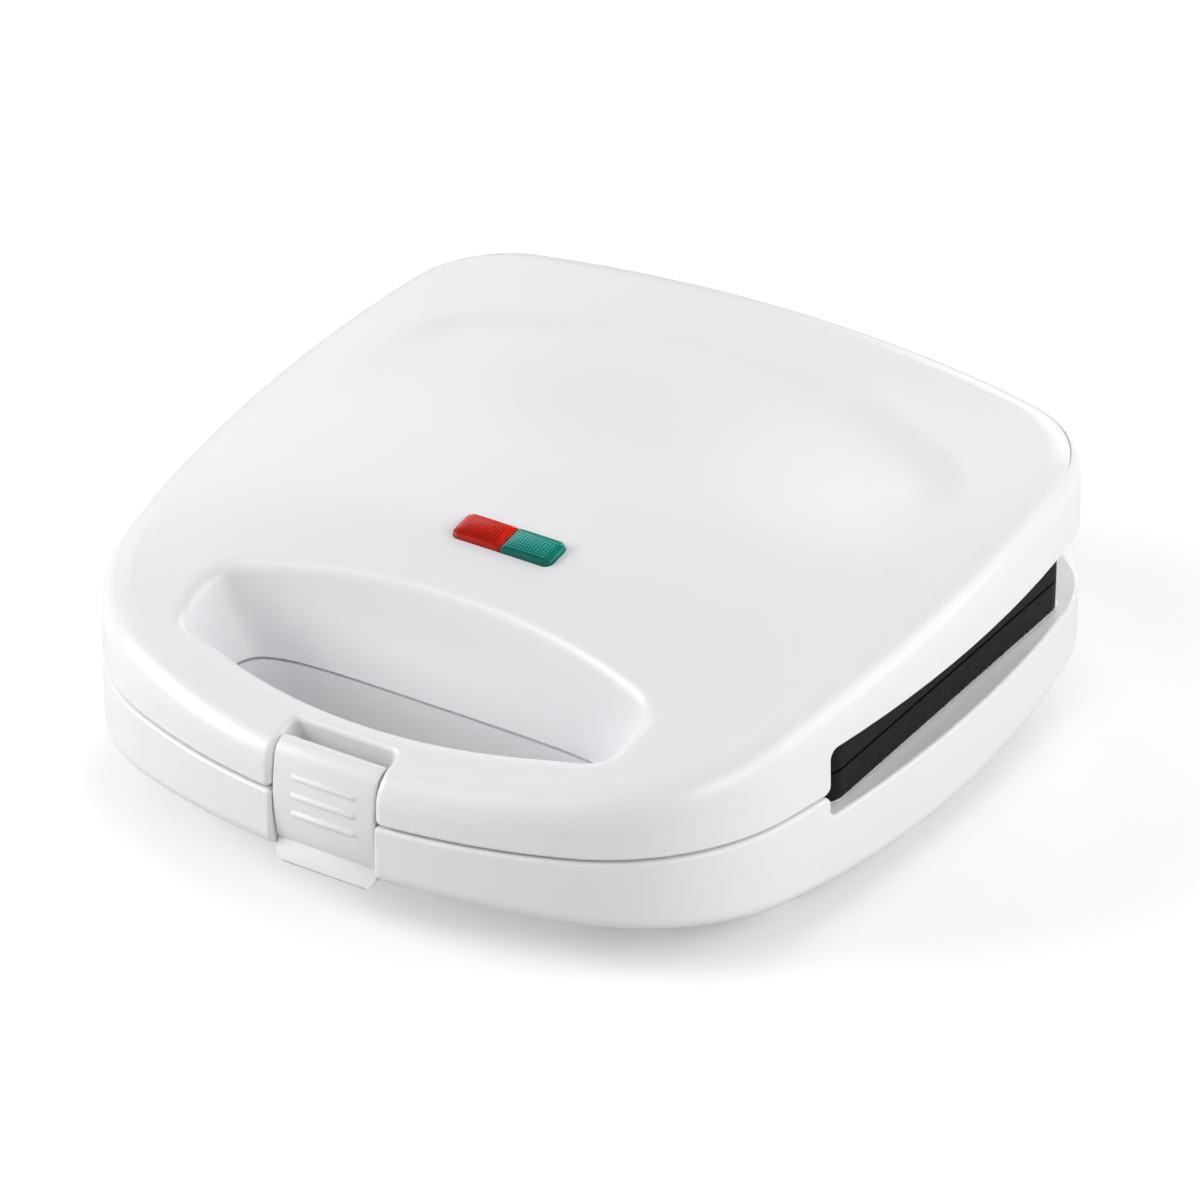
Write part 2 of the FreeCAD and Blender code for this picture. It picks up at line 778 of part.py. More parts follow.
def draw_rectangle(sketch, x0, x1, y0, y1, radii):
    """Rectangle with its own corner radius at each corner, from lower left, anticlockwise."""
    corners = [(x0, y0, 1, 1), (x1, y0, -1, 1), (x1, y1, -1, -1), (x0, y1, 1, -1)]
    starts, ends = [], []
    for index, ((x, y, dx, dy), r) in enumerate(zip(corners, radii)):
        before = Vector(x, y + dy * r, 0) if index % 2 == 0 else Vector(x + dx * r, y, 0)
        after = Vector(x + dx * r, y, 0) if index % 2 == 0 else Vector(x, y + dy * r, 0)
        starts.append(before)
        ends.append(after)
        if r > 0:
            circle = Part.Circle(Vector(x + dx * r, y + dy * r, 0), Z_AXIS, r)
            turn = math.pi + index * math.pi / 2
            sketch.addGeometry(Part.ArcOfCircle(circle, turn, turn + math.pi / 2), False)
    for index in range(4):
        sketch.addGeometry(Part.LineSegment(ends[index], starts[(index + 1) % 4]), False)


def new_pad(body, name, sketch, length, down=False):
    made = body.newObject("PartDesign::Pad", name)
    made.Profile = sketch
    made.setExpression("Length", length)
    made.Reversed = down
    return made


def new_pocket(body, name, sketch, length, up=False):
    made = body.newObject("PartDesign::Pocket", name)
    made.Profile = sketch
    made.setExpression("Length", length)
    made.Reversed = up
    return made


def new_revolution(body, name, sketch):
    made = body.newObject("PartDesign::Revolution", name)
    made.Profile = sketch
    made.ReferenceAxis = (sketch, ["V_Axis"])
    made.Angle = 360
    return made


def unit_placement(upper, depth):
    """Placement of a cooking part at a depth behind the parting plane, turned over in the lid."""
    turn = Rotation(Y_AXIS, 180) if upper else Rotation()
    z = PARTING + depth if upper else PARTING - depth
    return Placement(Vector(0, val("plate_centre_y"), z), turn)


# Cooking plates, heat shields and heaters, the same above and below


def ring_places():
    pitch_x, pitch_y = val("ring_pitch_x"), val("ring_pitch_y")
    return [(i * pitch_x, j * pitch_y / 2) for i in (-1, 0, 1) for j in (-1, 1)]


def make_plate(label, upper):
    """Cast plate: a rimmed web with six half-ring bowls, and slots for the pegs and the lock."""
    half_w, half_d = val("plate_width") / 2, val("plate_depth") / 2
    corner, skirt = val("plate_corner"), val("plate_skirt")
    body = new_body(label + "_blank")
    rim = new_sketch(body, "XY_Plane", label + "_rim")
    draw_rectangle(rim, -half_w, half_w, -half_d, half_d, [corner] * 4)
    new_pad(body, label + "_slab", rim, "Dims.plate_height", down=True)
    inner = new_sketch(body, "XY_Plane", label + "_inner", "-Dims.plate_height")
    in_w, in_d = half_w - skirt, half_d - skirt
    draw_rectangle(inner, -in_w, in_w, -in_d, in_d, [corner - skirt] * 4)
    new_pocket(body, label + "_hollow", inner, "Dims.plate_height - Dims.plate_web", up=True)
    body.Placement = unit_placement(upper, val("parting_gap"))

    shells, bowls = [], []
    face = PARTING + (1 if upper else -1) * val("parting_gap")
    for index, (x, y) in enumerate(ring_places()):
        place = Placement(Vector(x, y + val("plate_centre_y"), face), Rotation())
        for store, kind, radius in (
            (shells, "shell", "Dims.ring_depth + Dims.ring_wall"),
            (bowls, "bowl", "Dims.ring_depth"),
        ):
            ring = doc.addObject("Part::Torus", f"{label}_{kind}_{index}")
            ring.setExpression("Radius1", "Dims.ring_radius")
            ring.setExpression("Radius2", radius)
            ring.Placement = place
            store.append(ring)
    over = doc.addObject("Part::Box", label + "_over")
    over.setExpression("Length", "Dims.plate_width")
    over.setExpression("Width", "Dims.plate_depth")
    over.Height = 2 * val("ring_depth") + 10
    over_z = face - over.Height.Value if upper else face
    over.Placement.Base = Vector(-half_w, val("plate_centre_y") - half_d, over_z)

    near, far = LOCK_NOSE[0] - 0.4, LOCK_NOSE[1] + 0.4
    low = PARTING + near if upper else PARTING - far
    rear = val("plate_centre_y") + half_d
    front = val("plate_centre_y") - half_d
    slots = []
    for x in (-45.0, 45.0):
        slots.append(slot_box(label, x - 6.4, x + 6.4, rear - skirt - 1, rear + 1, low, far - near))
    reach = val("lock_nose_half") + 0.4
    travel = val("lock_travel")
    x0, x1 = (-reach - travel, reach) if upper else (-reach, reach + travel)
    slots.append(slot_box(label, x0, x1, front - 1, front + skirt + 1, low, far - near))
    gate = (x0, -reach - 0.8) if upper else (reach + 0.8, x1)
    gate_z = low if upper else low - 6
    slots.append(slot_box(label, *gate, front - 1, front + skirt + 1, gate_z, far - near + 6))

    whole = doc.addObject("Part::MultiFuse", label + "_whole")
    whole.Shapes = [body] + shells
    tools = doc.addObject("Part::MultiFuse", label + "_tools")
    tools.Shapes = [over] + bowls + slots
    plate = doc.addObject("Part::Cut", label)
    plate.Base = whole
    plate.Tool = tools
    return keep(plate, label)


def slot_box(label, x0, x1, y0, y1, z0, height):
    box = doc.addObject("Part::Box", label + "_slot")
    box.Length, box.Width, box.Height = x1 - x0, y1 - y0, height
    box.Placement.Base = Vector(x0, y0, z0)
    return box


def make_heat_shield(label, upper):
    """Pressed steel tray behind a plate, with a rim under the plate's edge."""
    half_w, half_d = val("tray_width") / 2, val("tray_depth") / 2
    lip = val("tray_lip")
    rim_w, rim_d = val("plate_width") / 2 + lip, val("plate_depth") / 2 + lip
    corner, metal = val("plate_corner"), val("tray_sheet")
    body = new_body(label)
    wall = new_sketch(body, "XY_Plane", label + "_wall")
    draw_rectangle(wall, -half_w, half_w, -half_d, half_d, [corner] * 4)
    new_pad(body, label + "_block", wall, "Dims.tray_height", down=True)
    rim = new_sketch(body, "XY_Plane", label + "_rim")
    draw_rectangle(rim, -rim_w, rim_w, -rim_d, rim_d, [corner] * 4)
    new_pad(body, label + "_flange", rim, "Dims.tray_rim", down=True)
    inner = new_sketch(body, "XY_Plane", label + "_inner")
    in_w, in_d = half_w - metal, half_d - metal
    draw_rectangle(inner, -in_w, in_w, -in_d, in_d, [corner - metal] * 4)
    new_pocket(body, label + "_hollow", inner, "Dims.tray_height - Dims.tray_sheet")
    ends = new_sketch(body, "XZ_Plane", label + "_ends")
    for x in (-val("heater_end_x"), val("heater_end_x")):
        draw_circle(ends, x, val("tray_top") - val("heater_drop"), val("heater_radius") + 0.5)
    new_pocket(body, label + "_holes", ends, "Dims.tray_depth")
    body.Placement = unit_placement(upper, val("tray_top"))
    return keep(body, label)


def rounded_path(points, radius):
    """Wire of straight runs joined by tangent arcs."""
    edges = []
    start = points[0]
    for before, corner, after in zip(points, points[1:], points[2:]):
        into = (corner - before).normalize()
        out = (after - corner).normalize()
        half_turn = into.getAngle(out) / 2
        cut = radius * math.tan(half_turn)
        first, last = corner - into * cut, corner + out * cut
        inward = (out - into).normalize()
        centre = corner + inward * (radius / math.cos(half_turn))
        middle = centre - inward * radius
        edges.append(Part.makeLine(start, first))
        edges.append(Part.Arc(first, middle, last).toShape())
        start = last
    edges.append(Part.makeLine(start, points[-1]))
    return Part.Wire(edges)


def tube(points, bend, radius):
    path = rounded_path(points, bend)
    run = (points[1] - points[0]).normalize()
    ring = Part.Wire(Part.makeCircle(radius, points[0], run))
    made = path.makePipeShell([ring], True, False)
    expected = math.pi * radius**2 * path.Length
    assert abs(made.Volume - expected) < 0.01 * expected, "tube volume"
    return made


def make_heater(label, upper):
    """Sheathed heating tube bent round under the rings, both ends out through the rear."""
    side = 1 if upper else -1
    z = PARTING + side * val("heater_drop")
    half, end_x, end_y = val("heater_half_width"), val("heater_end_x"), val("heater_end_y")
    middle, row = val("plate_centre_y"), val("ring_pitch_y") / 2
    points = [
        Vector(end_x, end_y, z),
        Vector(end_x, middle + row, z),
        Vector(half, middle + row, z),
        Vector(half, middle - row, z),
        Vector(-half, middle - row, z),
        Vector(-half, middle + row, z),
        Vector(-end_x, middle + row, z),
        Vector(-end_x, end_y, z),
    ]
    return feature(label, tube(points, val("heater_bend"), val("heater_radius")))


def make_heater_clips(label, upper):
    """Saddles that stand in the tray and carry the heating tube."""
    side = 1 if upper else -1
    centre = PARTING + side * val("heater_drop")
    floor = PARTING + side * (val("tray_top") + val("tray_height") - val("tray_sheet"))
    clips = []
    for x in (-val("heater_half_width"), val("heater_half_width")):
        for y in (-12.0, 12.0):
            at_y = val("plate_centre_y") + y
            saddle = block(x - 5, x + 5, at_y - 4, at_y + 4, min(centre, floor), max(centre, floor))
            groove = rod(val("heater_radius") + 0.05, Vector(x, at_y - 10, centre), Y_AXIS, 20)
            clips.append(one_solid(saddle.cut(groove)))
    return feature(label, Part.makeCompound(clips))


def make_plate_lock(label, upper):
    """Sliding lock at the front of a plate: a body, a thumb tab and a nose into the plate."""
    half, nose = val("lock_half"), val("lock_nose_half")
    tip = val("plate_centre_y") - val("plate_depth") / 2 + 2.0
    if upper:
        low, high = PARTING + LOCK_NOSE[0], PARTING + LOCK_NOSE[1]
        body_span = (SEAM + 3.25, high)
        thumb_span = (SEAM + 1.0, SEAM + 3.25)
    else:
        low, high = PARTING - LOCK_NOSE[1], PARTING - LOCK_NOSE[0]
        body_span = (SEAM - 5.4, SEAM - 3.45)
        thumb_span = (SEAM - 3.45, SEAM - 1.0)
    slide = block(-half, half, -56, -48.9, *body_span)
    slide = slide.fuse(block(-nose, nose, *THUMB_Y, *thumb_span))
    slide = slide.fuse(block(-nose, nose, THUMB_Y[1] - 0.3, tip, low, high))
    return feature(label, one_solid(slide.removeSplitter()))


# Latch


def make_latch():
    """Clip hung on a pin in the lid's notch: a bowed face with three ribs and a flared foot."""

    def at(y, height):
        return Vector(-20, y, SEAM + height)

    edges = [
        Part.Arc(at(-119.9, -14.6), at(-121.4, -2.7), at(-120.4, 9.2)).toShape(),
        Part.Arc(at(-120.4, 9.2), at(-118.8, 13.0), at(-115.2, 14.4)).toShape(),
        Part.Arc(at(-115.2, 14.4), at(-114.5, 13.5), at(-115.0, 12.6)).toShape(),
        Part.makeLine(at(-115.0, 12.6), at(-117.6, 10.4)),
        Part.makeLine(at(-117.6, 10.4), at(-117.6, -18.2)),
        Part.makeLine(at(-117.6, -18.2), at(-116.8, -19.2)),
        Part.makeLine(at(-116.8, -19.2), at(-116.8, -20.6)),
        Part.makeLine(at(-116.8, -20.6), at(-118.4, -21.6)),
        Part.makeLine(at(-118.4, -21.6), at(-121.0, -21.6)),
        Part.Arc(at(-121.0, -21.6), at(-121.8, -21.2), at(-121.9, -20.3)).toShape(),
        Part.makeLine(at(-121.9, -20.3), at(-119.2, -15.3)),
        Part.makeLine(at(-119.2, -15.3), at(-119.9, -14.6)),
    ]
    profile = Part.Face(Part.Wire(edges)).extrude(Vector(40, 0, 0))
    wide = val("notch_half") - val("latch_clearance")

    def front(x, height):
        return Vector(x, -REACH, SEAM + height)

    right = [
        Part.makeLine(front(wide, 20), front(wide, -17.0)),
        Part.Arc(front(wide, -17.0), front(wide - 1.4, -20.5), front(wide - 4.6, -22.0)).toShape(),
    ]
    left = [
        Part.Arc(front(4.6 - wide, -22.0), front(1.4 - wide, -20.5), front(-wide, -17.0)).toShape(),
        Part.makeLine(front(-wide, -17.0), front(-wide, 20)),
    ]
    base_line = Part.makeLine(front(wide - 4.6, -22.0), front(4.6 - wide, -22.0))
    head_line = Part.makeLine(front(-wide, 20), front(wide, 20))
    shield = Part.Face(Part.Wire(right + [base_line] + left + [head_line]))
    latch = profile.common(shield.extrude(Vector(0, REACH, 0)))
    pin_y, pin_z = val("latch_pin_y"), SEAM + val("latch_pin_height")
    barrel_start = Vector(1 - wide, pin_y, pin_z)
    latch = latch.fuse(rod(val("latch_barrel_radius"), barrel_start, X_AXIS, 2 * wide - 2))
    rib_r, rib_half = val("latch_rib_radius"), val("latch_rib_half")
    for y, height in ((-120.6, 5.9), (-121.05, 0.4), (-121.0, -5.2)):
        rib = rod(rib_r, Vector(-rib_half, y, SEAM + height), X_AXIS, 2 * rib_half)
        for x in (-rib_half, rib_half):
            rib = rib.fuse(Part.makeSphere(rib_r, Vector(x, y, SEAM + height)))
        latch = latch.fuse(rib.removeSplitter())
    bore = val("latch_pin_radius") + val("running_clearance")
    latch = latch.cut(rod(bore, Vector(-30, pin_y, pin_z), X_AXIS, 60))
    return feature("front_latch", one_solid(latch.removeSplitter()))


def make_latch_pin():
    pin = doc.addObject("Part::Cylinder", "latch_pin")
    pin.setExpression("Radius", "Dims.latch_pin_radius")
    pin.setExpression("Height", "Dims.latch_pin_length - 0.6")
    start = Vector(-val("latch_pin_length") / 2 + 0.3, val("latch_pin_y"), SEAM + val("latch_pin_height"))
    pin.Placement = Placement(start, Rotation(Y_AXIS, 90))
    return keep(pin, "latch_pin")


def make_hinge_pins():
    pins = []
    for side in (-1, 1):
        pin = doc.addObject("Part::Cylinder", "hinge_pin")
        pin.setExpression("Radius", "Dims.hinge_pin_radius")
        pin.setExpression("Height", "Dims.hinge_pin_length")
        middle = side * (val("hinge_inner_x") + val("hinge_outer_x")) / 2
        start = Vector(middle - val("hinge_pin_length") / 2, val("hinge_y"), SEAM + val("hinge_height"))
        pin.Placement = Placement(start, Rotation(Y_AXIS, 90))
        pins.append(pin)
    pair = doc.addObject("Part::Compound", "hinge_pins")
    pair.Links = pins
    return keep(pair, "hinge_pins")


# Feet, screws and electrics


def turned(label, points):
    """A turned piece from its half section, radius across and height up."""
    body = new_body(label)
    section = new_sketch(body, "XZ_Plane", label + "_section")
    draw_polygon(section, points)
    new_revolution(body, label + "_turn", section)
    doc.recompute()
    return body.Shape


def spread(label, shape, places):
    copies = []
    for place in places:
        copy = shape.copy()
        copy.translate(Vector(*place))
        copies.append(copy)
    return feature(label, Part.makeCompound(copies))


def make_feet():
    radius, height = val("foot_radius"), val("foot_height")
    stem, top = val("foot_stem_radius"), val("foot_stem_top")
    section = [(0, 0), (radius - 1.2, 0), (radius - 0.4, 0.8), (radius, height)]
    section += [(stem, height), (stem, top), (0, top)]
    foot = turned("foot", section)
    return spread("feet", foot, [(x, y, 0) for x, y in foot_places()])


def screw_section():
    head, high = val("screw_head_radius"), val("screw_head_height")
    shank, length = val("screw_shank_radius"), val("screw_shank_length")
    return [(0, 0), (head - 0.3, 0), (head, 0.3), (head, high), (shank, high),
            (shank, high + length), (0, high + length + 1.2)]


def make_screws():
    screw = turned("screw", screw_section())
    base_places = [(x, y, belly_height(y) + 0.3) for x, y in boss_places()]
    spread("base_screws", screw, base_places)
    lid_places = []
    for x, y in boss_places():
        floor = HALF_GAP if y < 0 else val("lid_side_gap")
        lid_places.append((x, y, SEAM + floor + 0.1))
    spread("lid_screws", screw, lid_places)


def make_lens(label, side):
    """Jewelled lamp window: a domed block with a flange under the lid's skin."""
    r = val("lens_corner")
    near, far = 0.1, val("lens_width")
    body = new_body(label)
    face = new_sketch(body, "XY_Plane", label + "_face", "-4.2")
    flange = new_sketch(body, "XY_Plane", label + "_flange", "-4.2")
    half = val("lens_depth") / 2
    if side > 0:
        draw_rectangle(face, near, far, -half, half, [0, r, r, 0])
        draw_rectangle(flange, near, far + 1.3, -half - 1.2, half + 1.2, [0] * 4)
    else:
        draw_rectangle(face, -far, -near, -half, half, [r, 0, 0, r])
        draw_rectangle(flange, -far - 1.3, -near, -half - 1.2, half + 1.2, [0] * 4)
    new_pad(body, label + "_ledge", flange, "1.2")
    block_pad = new_pad(body, label + "_block", face, "4.2 + Dims.lens_proud")
    doc.recompute()
    rim = []
    for index, edge in enumerate(block_pad.Shape.Edges, start=1):
        if edge.BoundBox.ZMin > val("lens_proud") - 1e-4:
            rim.append(f"Edge{index}")
    dome = body.newObject("PartDesign::Fillet", label + "_dome")
    dome.Base = (block_pad, rim)
    dome.setExpression("Radius", "Dims.lens_dome")
    body.Placement = lens_placement()
    return keep(body, label)


def make_lamps():
    frame = lens_placement()
    board = doc.addObject("Part::Box", "lamp_board")
    board.setExpression("Length", "2 * Dims.lens_width + 8")
    board.setExpression("Width", "Dims.lens_depth + 6")
    board.Height = 1.2
    corner = Vector(-val("lens_width") - 4, -val("lens_depth") / 2 - 3, -9.2)
    board.Placement = frame.multiply(Placement(corner, Rotation()))
    keep(board, "lamp_board")
    bulbs = []
    for x in (-val("lens_width") / 2, val("lens_width") / 2):
        bulb = doc.addObject("Part::Cylinder", "bulb")
        bulb.Radius = 2.0
        bulb.Height = 3.2
        bulb.Placement = frame.multiply(Placement(Vector(x, 0, -8.0), Rotation()))
        bulbs.append(bulb)
    lamps = doc.addObject("Part::Compound", "indicator_lamps")
    lamps.Links = bulbs
    keep(lamps, "indicator_lamps")


def make_thermostat():
    """Disc thermostat on the back of the upper heat shield, with two blade terminals."""
    radius = val("thermostat_radius")
    body = new_body("thermostat")
    disc = new_sketch(body, "XY_Plane", "thermostat_disc")
    draw_circle(disc, 0, 0, radius)
    new_pad(body, "thermostat_case", disc, "Dims.thermostat_height")
    cap = new_sketch(body, "XY_Plane", "thermostat_cap", "Dims.thermostat_height")
    draw_circle(cap, 0, 0, radius - 2)
    new_pad(body, "thermostat_lid", cap, "1.6")
    blades = new_sketch(body, "XY_Plane", "thermostat_blades", "2.0")
    for x0, x1 in ((-radius - 6, -radius + 1.5), (radius - 1.5, radius + 6)):
        draw_rectangle(blades, x0, x1, -2.4, 2.4, [0] * 4)
    new_pad(body, "thermostat_tabs", blades, "0.8")
    top = PARTING + val("tray_top") + val("tray_height")
    body.Placement = Placement(Vector(0, val("thermostat_y"), top + 0.05), Rotation())
    return keep(body, "thermostat")


def make_thermal_fuse():
    """Cut-out capsule with its two wire ends, lying on the upper heat shield."""
    top = PARTING + val("tray_top") + val("tray_height")
    capsule = doc.addObject("Part::Cylinder", "fuse_capsule")
    capsule.setExpression("Radius", "Dims.fuse_radius")
    capsule.setExpression("Height", "Dims.fuse_length")
    at_z = top + val("fuse_radius") + 0.2
    y = val("thermostat_y")
    capsule.Placement = Placement(Vector(38, y, at_z), Rotation(Y_AXIS, 90))
    wire = doc.addObject("Part::Cylinder", "fuse_wire")
    wire.Radius = 0.6
    wire.setExpression("Height", "Dims.fuse_length + 16")
    wire.Placement = Placement(Vector(30, y, at_z), Rotation(Y_AXIS, 90))
    fuse = doc.addObject("Part::Fuse", "thermal_fuse")
    fuse.Base = capsule
    fuse.Tool = wire
    return keep(fuse, "thermal_fuse")


def make_lid_leads():
    """Two wires from the upper heater's ends, up and forward over the heat shield."""
    z = PARTING + val("heater_drop")
    leads = []
    for x in (-val("heater_end_x"), val("heater_end_x")):
        points = [
            Vector(x, val("heater_end_y") + 0.4, z),
            Vector(x, val("heater_end_y") + 9, z),
            Vector(x, val("heater_end_y") + 9, z + 8.3),
            Vector(x, val("thermostat_y") + 9.5, z + 8.3),
        ]
        leads.append(tube(points, 3.5, val("lead_radius")))
    return feature("lid_leads", Part.makeCompound(leads))


def make_terminal_block():
    """Three-way block under the rear deck, where the supply meets the heater's ends."""
    top = SEAM - val("base_side_gap") - WALL
    body = new_body("terminal_block")
    plan = new_sketch(body, "XY_Plane", "block_plan")
    draw_rectangle(plan, -21, 21, 0, 11, [1] * 4)
    new_pad(body, "block_pad", plan, "8.2", down=True)
    holes = new_sketch(body, "XY_Plane", "block_holes", "-8.2")
    for x in (-13.0, 0.0, 13.0):
        draw_circle(holes, x, 5.5, 2.2)
    new_pocket(body, "block_wells", holes, "5", up=True)
    body.Placement = Placement(Vector(0, 96.5, top), Rotation())
    return keep(body, "terminal_block")


def make_cord_inlet():
    """Flanged bush in the back wall where the supply cord enters."""
    body = new_body("cord_inlet")
    section = new_sketch(body, "XZ_Plane", "inlet_section")
    bore, barrel, flange = val("inlet_bore"), val("inlet_barrel"), val("inlet_flange")
    draw_polygon(section, [(bore, 0), (barrel, 0), (barrel, 8.6), (flange, 8.6), (flange, 9.8), (bore, 9.8)])
    new_revolution(body, "inlet_turn", section)
    start = Vector(0, BACK_Y - 10.0, SEAM + val("inlet_height"))
    body.Placement = Placement(start, Rotation(X_AXIS, -90))
    return keep(body, "cord_inlet")


make_base_housing()
make_base_cover()
make_feet()
make_lid_housing()
make_lid_frame()
for name, is_upper in (("lower", False), ("upper", True)):
    make_plate(name + "_plate", is_upper)
    make_heat_shield(name + "_heat_shield", is_upper)
    make_heater(name + "_heater", is_upper)
    make_heater_clips(name + "_heater_clips", is_upper)
    make_plate_lock(name + "_plate_lock", is_upper)
make_latch()
make_latch_pin()
make_hinge_pins()
make_screws()
make_lens("red_lens", -1)
make_lens("green_lens", 1)
make_lamps()
make_thermostat()
make_thermal_fuse()
make_lid_leads()
make_terminal_block()
make_cord_inlet()

doc.recompute()
failed = [o.Name for o in doc.Objects if "Invalid" in o.State or "Error" in o.State]
assert not failed, f"failed objects: {failed}"
for piece in nodes:
    shape = piece.Shape
    assert not shape.isNull() and shape.isValid(), f"bad shape: {piece.Label}"
    print(piece.Label, len(shape.Solids), "solids", round(shape.Volume), "mm3")

os.makedirs("parts", exist_ok=True)
for piece in nodes:
    piece.Shape.exportStep(f"parts/{piece.Label}.step")
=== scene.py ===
import math

import bmesh
import bpy
from mathutils import Matrix, Vector


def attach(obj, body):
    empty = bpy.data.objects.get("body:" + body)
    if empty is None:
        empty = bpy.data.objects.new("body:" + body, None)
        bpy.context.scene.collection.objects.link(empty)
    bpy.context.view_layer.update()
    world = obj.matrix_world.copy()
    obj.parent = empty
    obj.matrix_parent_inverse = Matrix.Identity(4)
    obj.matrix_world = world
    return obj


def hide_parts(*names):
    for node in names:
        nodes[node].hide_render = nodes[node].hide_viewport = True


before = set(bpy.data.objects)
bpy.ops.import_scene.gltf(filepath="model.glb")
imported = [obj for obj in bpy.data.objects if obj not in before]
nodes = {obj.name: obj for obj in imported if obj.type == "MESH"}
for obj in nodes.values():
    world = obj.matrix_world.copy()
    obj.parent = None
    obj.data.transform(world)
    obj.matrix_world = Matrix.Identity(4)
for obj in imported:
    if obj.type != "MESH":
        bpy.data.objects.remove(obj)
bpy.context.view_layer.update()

MM = 0.001
MICRON = 0.000001
SEAM = 37.0  # height of the seam between lid and base, in millimetres

# Lamp windows

LENS_CENTRE = Vector((0, -31.0, 73.09)) * MM  # middle of the pair, on the lid's skin
LENS_TILT = math.radians(8.4)
LENS_HALF = (7.75 * MM, 5.0 * MM)  # half width and half depth of one window
LENS_MIDDLE = 7.9 * MM  # middle of one window, from the line between the two
LENS_CORNER = 2.2 * MM
LENS_PITCH = 0.92 * MM  # from one prism to the next
LENS_MARGIN = (1.7 * MM, 1.2 * MM)  # plain margin at the ends and along the long sides
LENS_FOOT = -1.5 * MM
LENS_WALL = 1.1 * MM  # height of the straight sides above the lid
LENS_EDGE = 0.55 * MM  # rise of the soft edge
LENS_CROWN = 0.5 * MM  # rise of the middle above that
LENS_GRID = (36, 26)

# Latch, in millimetres: its profile as y and height above the seam, from the foot of the face upward

LATCH_FACE = [
    (-119.95, -14.65),
    (-120.53, -11.5),
    (-121.04, -8),
    (-121.36, -4),
    (-121.39, 0),
    (-121.14, 4),
    (-120.77, 7),
]
LATCH_ROLL = [
    (-120.4, 9.2),
    (-120.0, 10.9),
    (-119.4, 12.2),
    (-118.5, 13.2),
    (-117.4, 14.0),
    (-116.2, 14.4),
    (-115.2, 14.4),
]
LATCH_BACK = [(-114.6, 14.0), (-114.6, 13.2), (-115.0, 12.6), (-117.6, 10.4), (-117.6, 5.0), (-117.6, 0.0)]
LATCH_HOOK = [(-117.6, -9), (-117.6, -16), (-117.6, -18.2), (-116.9, -19.2), (-116.9, -20.5), (-117.6, -21.2)]
LATCH_LIP = [(-118.4, -21.6), (-119.8, -21.6), (-121.0, -21.55), (-121.65, -21.2), (-121.9, -20.5)]
LATCH_STEP = [
    (-121.6, -19.8),
    (-121.2, -19.0),
    (-120.8, -18.2),
    (-120.35, -17.4),
    (-119.85, -16.4),
    (-119.3, -15.35),
]
LATCH_HALF = 16.1
LATCH_CORNER_TOP = -16.8  # height at which the corners of the foot begin
LATCH_CORNER_DROP = 4.9
LATCH_CORNER_WIDTH = 4.2
LATCH_EDGE = 0.6
LATCH_RIBS = [(-120.6, 5.9), (-121.05, 0.4), (-121.0, -5.2)]
LATCH_RIB_RADIUS = 1.05
LATCH_RIB_HALF = 9.2  # half length of a rib between its round ends

MERGE = 1e-6  # points closer than this are one
SHARP = math.radians(40)

# Stage

FLOOR_HALF = 6.0
FLOOR_LIT = (0.7, 0.7, 0.7, 1)  # floor as the object sees it
FLOOR_SEEN = (1.08, 1.08, 1.08, 1)  # floor as the camera sees it
FLOOR_GLOW = 0.09
SKY = 0.19
LAMP_SIZE = (1.0, 0.9)
LAMP_TARGET = (0, 0, 0.04)
LAMPS = (
    ("left", (-1.26, -0.81, 0.7), 19.5),
    ("back_left", (-1.2, 0.9, 0.7), 3.5),
    ("back", (-0.2, 1.6, 0.7), 8.0),
    ("right", (1.26, 0.81, 0.7), 10.0),
    ("front_right", (1.5, -0.3, 0.7), 10.5),
    ("front_high", (-0.35, -1.0, 1.4), 3.5),
    ("above", (0.1, 0.4, 1.7), 0.9),
)
CAMERA_BEARING = math.radians(32.688)
CAMERA_HEIGHT_ANGLE = math.radians(30.918)
CAMERA_DISTANCE = 1.9901
CAMERA_TARGET = Vector((0, 0, SEAM * MM))
CAMERA_SHIFT = (0.00783, 0.00183)  # aim beside the target, to the right and up
CAMERA_SENSOR = 36.0
CAMERA_LENS = 217.22
CAMERA_REACH = 50


# Materials


